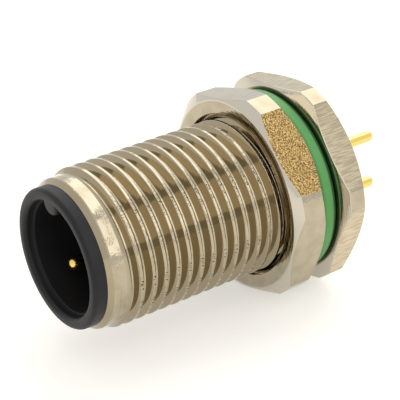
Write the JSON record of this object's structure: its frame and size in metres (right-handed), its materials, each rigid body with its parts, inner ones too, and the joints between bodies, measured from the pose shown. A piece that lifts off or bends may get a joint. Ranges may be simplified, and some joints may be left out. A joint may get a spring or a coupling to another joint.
{
  "type": "circular panel connector",
  "caption": "Round M12 panel connector: threaded nickel-plated barrel with hex flange, hex nut, green panel seal, keyed black contact carrier, gold-plated pins and solder tails.",
  "frame": {"origin": "on the connector's axis, in the plane of the flange's front face where the panel seal sits", "axes": "+Y along the axis towards the solder tails, so the mating end looks towards -Y; +Z towards the key of the contact carrier; +X completes the right-handed frame"},
  "size_m": [0.0164, 0.0275, 0.016],
  "materials": {
    "nickel": "nickel-plated, satin",
    "nut_nickel": "nickel-plated, satin",
    "black_plastic": "matte",
    "gold": "gold-plated, polished",
    "green_rubber": "satin",
    "ring_rubber": "matte"
  },
  "bodies": {
    "receptacle": {"housing": "nickel", "contact_carrier": "black_plastic", "carrier_seal": "ring_rubber", "contact_1": "gold", "contact_2": "gold", "contact_3": "gold", "contact_4": "gold", "panel_seal": "green_rubber"},
    "nut": {"panel_nut": "nut_nickel"}
  },
  "joints": [
    {"name": "nut_travel", "type": "slide", "parent": "receptacle", "child": "nut", "axis": [0, -1, 0], "range_m": [0, 0.02]}
  ]
}
